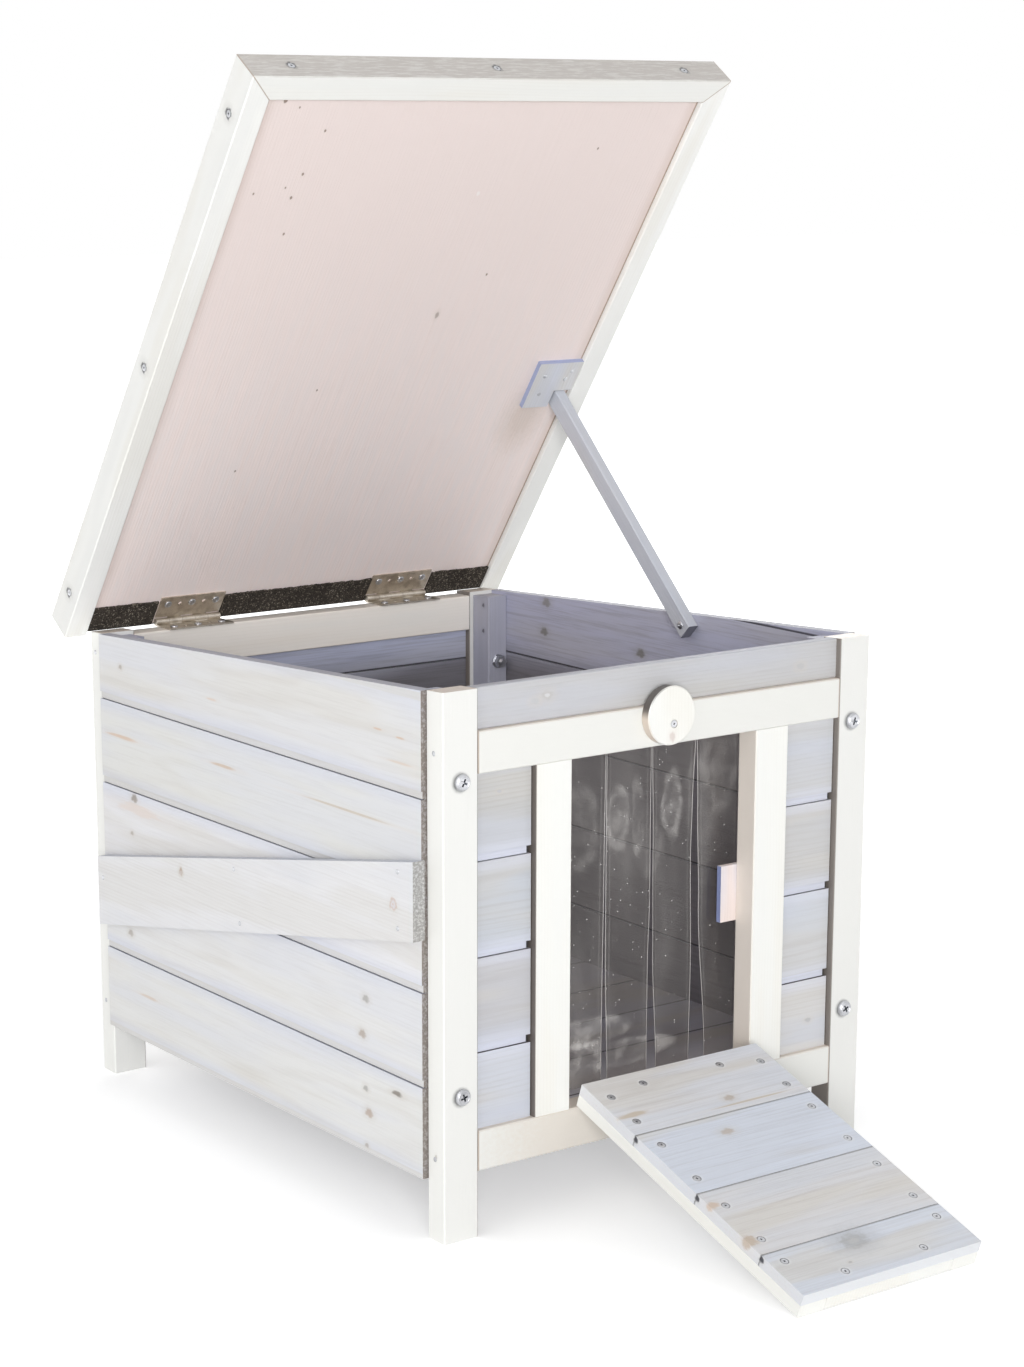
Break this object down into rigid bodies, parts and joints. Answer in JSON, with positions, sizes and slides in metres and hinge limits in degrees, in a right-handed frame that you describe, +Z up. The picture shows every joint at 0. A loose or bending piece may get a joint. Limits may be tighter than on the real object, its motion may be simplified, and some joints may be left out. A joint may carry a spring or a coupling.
{
  "type": "outdoor cat house",
  "caption": "Slatted timber cat house on four posts, with a pitched hinged lid on a stay, a clear strip curtain and a hinged ramp that closes the doorway.",
  "frame": {"origin": "middle of the ground under the whole object, halfway between the ramp's lower end and the lid's back edge, on the house's plane of symmetry", "axes": "+X to the right of the front, +Y from the front to the back, +Z up"},
  "size_m": [0.442, 0.785, 0.8321],
  "materials": {
    "white_paint": "thin matt white paint on softwood",
    "grey_stain": "pale grey wash on softwood, grain and knots showing",
    "blue_stain": "pale blue-grey wash on softwood, grain and knots showing",
    "plywood": "bare rotary-cut plywood",
    "roofing_felt": "coarse mineral-faced roofing felt",
    "zinc": "bright zinc plating",
    "nickel": "dull nickel plating",
    "clear_sheet": "clear soft vinyl sheet"
  },
  "bodies": {
    "house": {"leg_front_left": "white_paint", "leg_front_right": "white_paint", "leg_back_left": "white_paint", "leg_back_right": "white_paint", "front_top_board": "grey_stain", "front_top_rail": "white_paint", "front_bottom_rail": "white_paint", "door_stile_left": "white_paint", "door_stile_right": "white_paint", "front_boards_left": "blue_stain", "front_boards_right": "blue_stain", "side_boards_left": "grey_stain", "side_boards_right": "grey_stain", "back_top_rail": "white_paint", "back_bottom_rail": "white_paint", "back_boards": "blue_stain", "batten_front_left": "grey_stain", "batten_front_right": "grey_stain", "batten_back_left": "grey_stain", "batten_back_right": "grey_stain", "floor_boards": "grey_stain", "floor_bearer_left": "grey_stain", "floor_bearer_right": "grey_stain", "sign_board": "grey_stain", "nails": "zinc", "corner_bolts": "zinc", "corner_washers": "zinc", "corner_nuts": "zinc", "door_stop": "plywood", "flap_batten": "grey_stain", "flap_header": "clear_sheet", "flap_clamp": "grey_stain", "flap_screws": "zinc", "turn_button_screw": "zinc", "stay_screw": "zinc", "lid_hinge_rail_leaves": "nickel", "lid_hinge_pins": "nickel", "hinge_screws": "zinc", "ramp_hinge_rail_leaves": "nickel", "ramp_hinge_pins": "nickel"},
    "lid": {"lid_panel": "plywood", "lid_felt": "roofing_felt", "lid_frame_left": "white_paint", "lid_frame_right": "white_paint", "lid_frame_front": "white_paint", "lid_screws": "zinc", "lid_hinge_lid_leaves": "nickel", "lid_hinge_screws": "zinc", "stay_bracket": "blue_stain"},
    "ramp": {"ramp_planks": "grey_stain", "ramp_side_strips": "white_paint", "ramp_cross_strips": "white_paint", "ramp_screws": "zinc", "ramp_hinge_leaves": "nickel"},
    "turn_button": {"turn_button": "white_paint"},
    "stay": {"stay": "blue_stain"},
    "flap_strip_1": {"flap_strip_1": "clear_sheet"},
    "flap_strip_2": {"flap_strip_2": "clear_sheet"},
    "flap_strip_3": {"flap_strip_3": "clear_sheet"},
    "flap_strip_4": {"flap_strip_4": "clear_sheet"}
  },
  "joints": [
    {"name": "ramp_hinge", "type": "hinge", "parent": "house", "child": "ramp", "pos_m": [0, -0.14113, 0.0808], "axis": [-1, 0, 0], "range_deg": [0, 108.7]},
    {"name": "lid_hinge", "type": "hinge", "parent": "house", "child": "lid", "pos_m": [0, 0.36752, 0.37802], "axis": [-1, 0, 0], "range_deg": [0, 90]},
    {"name": "stay_pivot", "type": "hinge", "parent": "house", "child": "stay", "pos_m": [0.1887, 0.06722, 0.38498], "axis": [-1, 0, 0], "range_deg": [0, 47.6]},
    {"name": "turn_button_pivot", "type": "hinge", "parent": "house", "child": "turn_button", "pos_m": [-0.0005, -0.14358, 0.3601], "axis": [0, -1, 0], "continuous": true},
    {"name": "flap_strip_1_swing", "type": "hinge", "parent": "house", "child": "flap_strip_1", "pos_m": [-0.054, -0.10988, 0.3453], "axis": [1, 0, 0], "range_deg": [0, 80]},
    {"name": "flap_strip_2_swing", "type": "hinge", "parent": "house", "child": "flap_strip_2", "pos_m": [-0.011, -0.10988, 0.3453], "axis": [1, 0, 0], "range_deg": [0, 80]},
    {"name": "flap_strip_3_swing", "type": "hinge", "parent": "house", "child": "flap_strip_3", "pos_m": [0.032, -0.10988, 0.3453], "axis": [1, 0, 0], "range_deg": [0, 80]},
    {"name": "flap_strip_4_swing", "type": "hinge", "parent": "house", "child": "flap_strip_4", "pos_m": [0.075, -0.10988, 0.3453], "axis": [1, 0, 0], "range_deg": [0, 80]}
  ],
  "couplings": [
    {"joint": "stay_pivot", "follows": "lid_hinge", "ratio": 0.5288}
  ]
}
